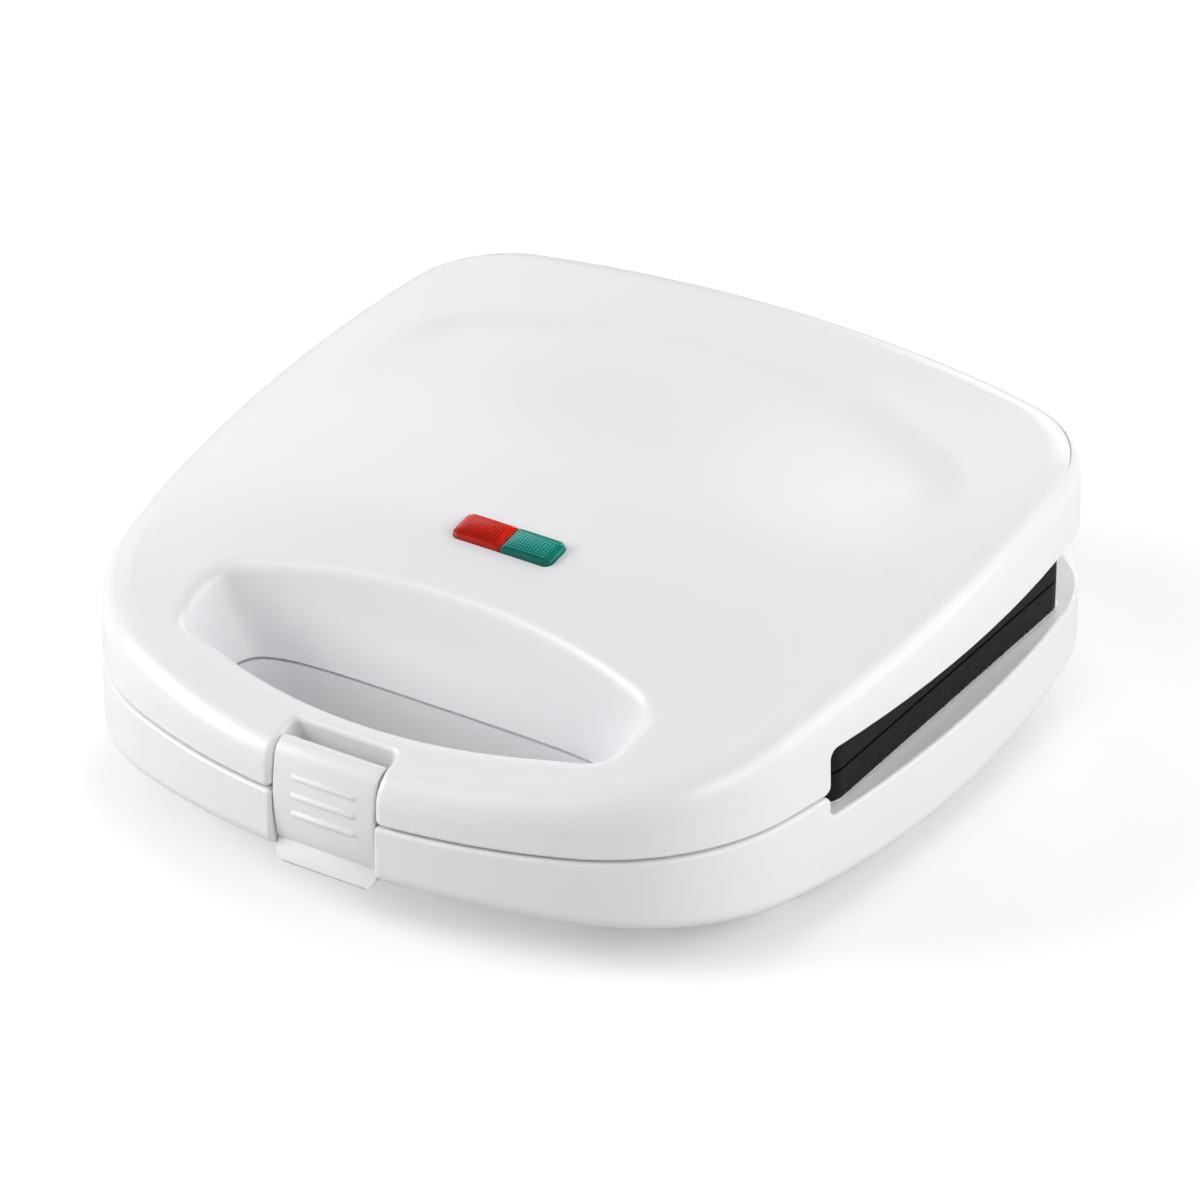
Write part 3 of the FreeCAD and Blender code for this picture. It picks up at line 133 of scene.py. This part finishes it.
class Finish:
    """One node material, with short calls for the nodes that the finishes share."""

    def __init__(self, name):
        self.material = bpy.data.materials.new(name)
        self.material.use_nodes = True
        self.tree = self.material.node_tree
        self.shader = self.tree.nodes["Principled BSDF"]
        self.coords = self.node("ShaderNodeTexCoord")

    def node(self, kind, **settings):
        made = self.tree.nodes.new(kind)
        for key, value in settings.items():
            setattr(made, key, value)
        return made

    def link(self, source, target):
        self.tree.links.new(source, target)

    def wear(self, colour, roughness):
        self.link(colour, self.shader.inputs["Base Color"])
        self.link(roughness, self.shader.inputs["Roughness"])

    def set(self, **values):
        for key, value in values.items():
            self.shader.inputs[key.replace("_", " ")].default_value = value

    def placed(self, location=(0, 0, 0), scale=(1, 1, 1)):
        mapping = self.node("ShaderNodeMapping")
        mapping.inputs["Location"].default_value = location
        mapping.inputs["Scale"].default_value = scale
        self.link(self.coords.outputs["Object"], mapping.inputs["Vector"])
        return mapping.outputs["Vector"]

    def noise(self, scale, detail=2.0, vector=None):
        made = self.node("ShaderNodeTexNoise")
        made.inputs["Scale"].default_value = scale
        made.inputs["Detail"].default_value = detail
        self.link(vector or self.coords.outputs["Object"], made.inputs["Vector"])
        return made.outputs["Fac"]

    def spread(self, source, low, high):
        """A noise, which keeps between 0.1 and 0.9, spread from low to high."""
        made = self.node("ShaderNodeMapRange")
        made.inputs["From Min"].default_value = 0.1
        made.inputs["From Max"].default_value = 0.9
        made.inputs["To Min"].default_value = low
        made.inputs["To Max"].default_value = high
        self.link(source, made.inputs["Value"])
        return made.outputs["Result"]

    def ramp(self, source, stops):
        made = self.node("ShaderNodeValToRGB")
        band = made.color_ramp
        while len(band.elements) < len(stops):
            band.elements.new(0.5)
        for element, (place, colour) in zip(band.elements, stops):
            element.position = place
            element.color = (*colour, 1)
        self.link(source, made.inputs["Fac"])
        return made.outputs["Color"]

    def math(self, operation, *values):
        made = self.node("ShaderNodeMath", operation=operation)
        for socket, value in zip(made.inputs, values):
            if isinstance(value, (int, float)):
                socket.default_value = value
            else:
                self.link(value, socket)
        return made.outputs["Value"]

    def blend(self, kind, factor, first, second):
        made = self.node("ShaderNodeMix", data_type="RGBA", blend_type=kind)
        sockets = (made.inputs[0], made.inputs[6], made.inputs[7])
        for socket, value in zip(sockets, (factor, first, second)):
            if isinstance(value, (float, tuple)):
                socket.default_value = value
            else:
                self.link(value, socket)
        return made.outputs[2]

    def bump(self, height, distance):
        made = self.node("ShaderNodeBump")
        made.inputs["Distance"].default_value = distance
        self.link(height, made.inputs["Height"])
        self.link(made.outputs["Normal"], self.shader.inputs["Normal"])


def shade(colour, factor):
    return tuple(c * factor for c in colour)


def plastic(name, colour, rough, grain, coat=0.0):
    """Moulded plastic: a faint drift in tone, uneven gloss and a fine moulding texture."""
    finish = Finish(name)
    drift = finish.noise(scale=9.0, detail=3.0)
    tone = finish.ramp(drift, [(0.1, shade(colour, 0.98)), (0.9, shade(colour, 1.015))])
    gloss = finish.spread(finish.noise(scale=60.0), low=rough - 0.03, high=rough + 0.03)
    finish.wear(tone, gloss)
    finish.bump(finish.noise(scale=1400.0, detail=1.0), distance=grain * MICRON)
    finish.set(Coat_Weight=coat, Coat_Roughness=0.06)
    return finish.material


def steel(name, colour, rough, stretch=(1, 1, 1)):
    """Drawn or pressed metal: streaks along the direction it was worked."""
    finish = Finish(name)
    streak = finish.noise(scale=700.0, detail=3.0, vector=finish.placed(scale=stretch))
    tone = finish.ramp(streak, [(0.3, shade(colour, 0.82)), (0.7, shade(colour, 1.08))])
    finish.wear(tone, finish.spread(streak, low=rough - 0.06, high=rough + 0.08))
    finish.bump(streak, distance=20 * MICRON)
    finish.set(Metallic=1.0)
    return finish.material


def dark_coating(name):
    """Non-stick coating: near black, slightly rough, with pale specks in it."""
    finish = Finish(name)
    specks = finish.node("ShaderNodeTexVoronoi")
    specks.inputs["Scale"].default_value = 800.0
    finish.link(finish.coords.outputs["Object"], specks.inputs["Vector"])
    speck, edge, ground = (0.12, 0.12, 0.15), (0.02, 0.02, 0.024), (0.004, 0.004, 0.005)
    tone = finish.ramp(specks.outputs["Distance"], [(0.0, speck), (0.1, edge), (0.2, ground)])
    finish.wear(tone, finish.spread(finish.noise(scale=300.0), low=0.5, high=0.65))
    finish.bump(finish.noise(scale=2200.0, detail=2.0), distance=30 * MICRON)
    finish.set(Specular_IOR_Level=0.16)
    return finish.material


def lens_jewel(name, plain, ground, dot):
    """Coloured lamp window: plain margins round a field of small prisms seen through it, with painted shade
    that darkens it towards the front.
    """
    finish = Finish(name)
    level = finish.node("ShaderNodeVectorRotate", rotation_type="X_AXIS")
    level.inputs["Angle"].default_value = -LENS_TILT
    finish.link(finish.placed(location=tuple(-LENS_CENTRE)), level.inputs["Vector"])
    place = finish.node("ShaderNodeSeparateXYZ")
    finish.link(level.outputs["Vector"], place.inputs["Vector"])
    x, y = place.outputs["X"], place.outputs["Y"]

    turn = 2 * math.pi / LENS_PITCH
    across = finish.math("SINE", finish.math("MULTIPLY", x, turn))
    along = finish.math("SINE", finish.math("MULTIPLY", y, turn))
    dots = finish.math("MULTIPLY_ADD", finish.math("ADD", across, along), 0.25, 0.5)
    field = finish.ramp(dots, [(0.42, ground), (0.7, dot)])

    from_middle = finish.math("SUBTRACT", finish.math("ABSOLUTE", x), LENS_MIDDLE)
    half_width, half_depth = (half - margin for half, margin in zip(LENS_HALF, LENS_MARGIN))
    in_width = finish.math("LESS_THAN", finish.math("ABSOLUTE", from_middle), half_width)
    in_depth = finish.math("LESS_THAN", finish.math("ABSOLUTE", y), half_depth)
    colour = finish.blend("MIX", finish.math("MULTIPLY", in_width, in_depth), (*plain, 1.0), field)

    # Painted shade: the window's colour is multiplied down to 0.55 at its front edge and rises to full colour
    # just past the middle.
    from_front = finish.math("MULTIPLY_ADD", y, 0.5 / LENS_HALF[1], 0.5)
    dim, full = (0.55, 0.55, 0.55), (1, 1, 1)
    painted_shade = finish.ramp(from_front, [(0.0, dim), (0.55, full), (1.0, full)])
    colour = finish.blend("MULTIPLY", 1.0, colour, painted_shade)

    finish.wear(colour, finish.spread(finish.noise(scale=200.0), low=0.08, high=0.14))
    finish.bump(dots, distance=40 * MICRON)
    finish.set(Specular_IOR_Level=0.2, Coat_Weight=0.14, Coat_Roughness=0.05)
    return finish.material


def dress(material, *names):
    for name in names:
        slots = nodes[name].data.materials
        slots.clear()
        slots.append(material)


# Moulded finishes: colour, roughness, grain in microns, and the nodes that wear them
MOULDED = (
    ("shell_white_gloss", (0.86, 0.86, 0.88), 0.3, 3, ["lid_housing", "base_housing"]),
    ("inner_white_satin", (0.8, 0.8, 0.81), 0.42, 20, ["lid_frame", "base_cover"]),
    ("foot_light_grey", (0.62, 0.62, 0.61), 0.6, 30, ["feet"]),
    ("lock_grey", (0.3, 0.3, 0.31), 0.45, 20, ["lower_plate_lock", "upper_plate_lock"]),
    ("inlet_grey", (0.66, 0.66, 0.67), 0.45, 20, ["cord_inlet"]),
    ("block_white", (0.7, 0.69, 0.66), 0.6, 30, ["terminal_block"]),
    ("thermostat_brown", (0.09, 0.04, 0.02), 0.4, 20, ["thermostat"]),
    ("board_green", (0.02, 0.12, 0.04), 0.35, 20, ["lamp_board"]),
    ("lead_sleeve", (0.7, 0.69, 0.64), 0.75, 60, ["lid_leads"]),
)
for finish_name, finish_colour, finish_rough, finish_grain, wearers in MOULDED:
    dress(plastic(finish_name, finish_colour, finish_rough, finish_grain), *wearers)
dress(plastic("lamp_clear", (0.8, 0.76, 0.7), 0.12, grain=4, coat=0.5), "indicator_lamps")
dress(dark_coating("plate_dark_coating"), "lower_plate", "upper_plate")
shield_steel = steel("shield_bright_steel", (0.72, 0.72, 0.73), 0.28, stretch=(0.05, 1, 1))
dress(shield_steel, "lower_heat_shield", "upper_heat_shield", "thermal_fuse")
dress(shield_steel, "lower_heater_clips", "upper_heater_clips")
dress(steel("heater_dark_steel", (0.3, 0.29, 0.27), 0.45), "lower_heater", "upper_heater")
pin_steel = steel("pin_steel", (0.6, 0.6, 0.62), 0.3, stretch=(0.1, 1, 1))
dress(pin_steel, "latch_pin", "hinge_pins", "base_screws", "lid_screws")


# Pieces


def finish_mesh(name, mesh, body, material, stands_for):
    """Object from a bmesh: doubles merged, normals outward, smooth faces, riding on a body."""
    bmesh.ops.remove_doubles(mesh, verts=mesh.verts, dist=MERGE)
    bmesh.ops.recalc_face_normals(mesh, faces=mesh.faces)
    data = bpy.data.meshes.new(name)
    mesh.to_mesh(data)
    mesh.free()
    data.shade_smooth()
    data.set_sharp_from_angle(angle=SHARP)
    data.materials.append(material)
    piece = bpy.data.objects.new(name, data)
    bpy.context.scene.collection.objects.link(piece)
    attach(piece, body)
    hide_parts(stands_for)


def latch_half_width(height):
    """Half width of the latch: straight sides, round corners at the foot."""
    if height > LATCH_CORNER_TOP:
        return LATCH_HALF
    drop = min(1.0, (LATCH_CORNER_TOP - height) / LATCH_CORNER_DROP)
    return LATCH_HALF - LATCH_CORNER_WIDTH + LATCH_CORNER_WIDTH * math.sqrt(1 - drop * drop)


def add_latch_rib(mesh, y, height):
    """Rib across the latch's face: a ball drawn out sideways."""
    ball = bmesh.ops.create_uvsphere(mesh, u_segments=20, v_segments=12, radius=LATCH_RIB_RADIUS * MM)
    rib = ball["verts"]
    bmesh.ops.rotate(mesh, verts=rib, matrix=Matrix.Rotation(math.pi / 2, 3, "Y"))
    for vert in rib:
        if abs(vert.co.x) > 1e-7:
            vert.co.x += math.copysign(LATCH_RIB_HALF * MM, vert.co.x)
    bmesh.ops.translate(mesh, verts=rib, vec=(0, y * MM, (SEAM + height) * MM))


def make_latch():
    """Clip over the grip: a bowed face with a rolled top, three ribs and a flared foot."""
    mesh = bmesh.new()
    outline = LATCH_FACE + LATCH_ROLL + LATCH_BACK + LATCH_HOOK + LATCH_LIP + LATCH_STEP
    corners = [mesh.verts.new((0, y * MM, (SEAM + z) * MM)) for y, z in outline]
    side = mesh.faces.new(corners)
    swept = bmesh.ops.extrude_face_region(mesh, geom=[side])
    far = [v for v in swept["geom"] if isinstance(v, bmesh.types.BMVert)]
    for vert in mesh.verts:
        half = latch_half_width(vert.co.z / MM - SEAM)
        vert.co.x = half * MM if vert in far else -half * MM
    bmesh.ops.recalc_face_normals(mesh, faces=mesh.faces)
    ends = [e for e in mesh.edges if (e.verts[0] in far) == (e.verts[1] in far)]
    bmesh.ops.bevel(
        mesh,
        geom=ends,
        offset=LATCH_EDGE * MM,
        offset_type="OFFSET",
        segments=3,
        profile=0.5,
        affect="EDGES",
        clamp_overlap=True,
        material=-1,
    )
    for y, height in LATCH_RIBS:
        add_latch_rib(mesh, y, height)
    satin = plastic("latch_satin", (0.85, 0.85, 0.86), 0.38, grain=12)
    finish_mesh("latch_clip", mesh, "latch", satin, "front_latch")


def lens_height(across, along):
    """Height of a window above the lid's skin; both places run from -1 to 1."""
    edge = math.sqrt((1 - abs(across) ** 9) * (1 - abs(along) ** 7))
    crown = (1 - across * across) * (1 - along * along)
    return LENS_WALL + LENS_EDGE * edge + LENS_CROWN * crown


def make_lens(name, side, material, stands_for):
    """Lamp window: a crowned top with soft edges on straight sides, its outer corners rounded."""
    mesh = bmesh.new()
    columns, rows = LENS_GRID
    bmesh.ops.create_grid(mesh, x_segments=columns, y_segments=rows, size=1.0)
    for vert in mesh.verts:
        across, along = (math.sin(place * math.pi / 2) for place in vert.co.xy)
        x = across * LENS_HALF[0]
        y = abs(along) * LENS_HALF[1]
        past_x = x - LENS_HALF[0] + LENS_CORNER
        past_y = y - LENS_HALF[1] + LENS_CORNER
        if past_x > 0 and past_y > 0:
            pull = max(past_x, past_y) / math.hypot(past_x, past_y) - 1
            x += past_x * pull
            y += past_y * pull
        vert.co = (side * (LENS_MIDDLE + x), math.copysign(y, along), lens_height(across, along))
    rim = [e for e in mesh.edges if e.is_boundary]
    wall = bmesh.ops.extrude_edge_only(mesh, edges=rim)["geom"]
    foot = [v for v in wall if isinstance(v, bmesh.types.BMVert)]
    for vert in foot:
        vert.co.z = LENS_FOOT
    bmesh.ops.edgeloop_fill(mesh, edges=[e for e in mesh.edges if e.is_boundary])
    bmesh.ops.rotate(mesh, verts=mesh.verts, matrix=Matrix.Rotation(LENS_TILT, 3, "X"))
    bmesh.ops.translate(mesh, verts=mesh.verts, vec=LENS_CENTRE)
    finish_mesh(name, mesh, "lid", material, stands_for)


make_latch()
red = lens_jewel("lens_red", plain=(0.68, 0.012, 0.003), ground=(0.78, 0.02, 0.004), dot=(0.17, 0.003, 0.001))
green = lens_jewel("lens_green", plain=(0.0, 0.2, 0.16), ground=(0.0, 0.13, 0.105), dot=(0.06, 0.52, 0.44))
make_lens("lamp_window_red", -1, red, "red_lens")
make_lens("lamp_window_green", 1, green, "green_lens")


# Stage


def floor_material():
    """White floor: lit by the lamps, so it takes the shadow, and lifted to white where it is seen."""
    made = bpy.data.materials.new("floor_white")
    made.use_nodes = True
    tree = made.node_tree
    tree.nodes.clear()
    link = tree.links.new
    path = tree.nodes.new("ShaderNodeLightPath")

    pale = tree.nodes.new("ShaderNodeMix")
    pale.data_type = "RGBA"
    pale.inputs[6].default_value = FLOOR_LIT
    pale.inputs[7].default_value = FLOOR_SEEN
    link(path.outputs["Is Camera Ray"], pale.inputs[0])
    lit = tree.nodes.new("ShaderNodeBsdfDiffuse")
    link(pale.outputs[2], lit.inputs["Color"])

    seen = path.outputs["Is Camera Ray"]
    for ray in ("Is Glossy Ray", "Is Transmission Ray"):
        either = tree.nodes.new("ShaderNodeMath")
        either.operation = "MAXIMUM"
        link(seen, either.inputs[0])
        link(path.outputs[ray], either.inputs[1])
        seen = either.outputs[0]
    level = tree.nodes.new("ShaderNodeMath")
    level.operation = "MULTIPLY"
    level.inputs[1].default_value = FLOOR_GLOW
    link(seen, level.inputs[0])
    glow = tree.nodes.new("ShaderNodeEmission")
    link(level.outputs[0], glow.inputs["Strength"])

    both = tree.nodes.new("ShaderNodeAddShader")
    link(lit.outputs[0], both.inputs[0])
    link(glow.outputs[0], both.inputs[1])
    out = tree.nodes.new("ShaderNodeOutputMaterial")
    link(both.outputs[0], out.inputs["Surface"])
    return made


def make_floor():
    mesh = bmesh.new()
    bmesh.ops.create_grid(mesh, x_segments=1, y_segments=1, size=FLOOR_HALF)
    data = bpy.data.meshes.new("floor")
    mesh.to_mesh(data)
    mesh.free()
    data.materials.append(floor_material())
    floor = bpy.data.objects.new("floor", data)
    bpy.context.scene.collection.objects.link(floor)


def aim(thing, place, target):
    thing.location = place
    thing.rotation_euler = (Vector(target) - Vector(place)).to_track_quat("-Z", "Y").to_euler()


def make_softbox(name, place, watts):
    lamp = bpy.data.lights.new(name, "AREA")
    lamp.shape = "RECTANGLE"
    lamp.size, lamp.size_y = LAMP_SIZE
    lamp.energy = watts
    thing = bpy.data.objects.new(name, lamp)
    bpy.context.scene.collection.objects.link(thing)
    aim(thing, place, LAMP_TARGET)


def make_world():
    """Even white surroundings: soft light on the object, full white where the camera sees them."""
    world = bpy.data.worlds.new("studio")
    world.use_nodes = True
    back = world.node_tree.nodes["Background"]
    back.inputs["Color"].default_value = (1, 1, 1, 1)
    path = world.node_tree.nodes.new("ShaderNodeLightPath")
    mix = world.node_tree.nodes.new("ShaderNodeMapRange")
    mix.inputs["To Min"].default_value = SKY
    mix.inputs["To Max"].default_value = 1.0
    world.node_tree.links.new(path.outputs["Is Camera Ray"], mix.inputs["Value"])
    world.node_tree.links.new(mix.outputs["Result"], back.inputs["Strength"])
    bpy.context.scene.world = world


def make_camera():
    """Camera of the photograph: bearing, height angle and distance solved from it."""
    level = math.cos(CAMERA_HEIGHT_ANGLE)
    back = Vector((
        math.sin(CAMERA_BEARING) * level,
        -math.cos(CAMERA_BEARING) * level,
        math.sin(CAMERA_HEIGHT_ANGLE),
    ))
    right = Vector((math.cos(CAMERA_BEARING), math.sin(CAMERA_BEARING), 0))
    up = back.cross(right)
    lens = bpy.data.cameras.new("camera")
    lens.sensor_width = CAMERA_SENSOR
    lens.lens = CAMERA_LENS
    lens.clip_end = CAMERA_REACH
    camera = bpy.data.objects.new("camera", lens)
    bpy.context.scene.collection.objects.link(camera)
    aimed = CAMERA_TARGET + right * CAMERA_SHIFT[0] + up * CAMERA_SHIFT[1]
    aim(camera, CAMERA_TARGET + back * CAMERA_DISTANCE, aimed)
    bpy.context.scene.camera = camera


make_floor()
make_world()
for lamp_name, lamp_place, lamp_watts in LAMPS:
    make_softbox(lamp_name, lamp_place, lamp_watts)
make_camera()
bpy.context.scene.view_settings.view_transform = "Standard"
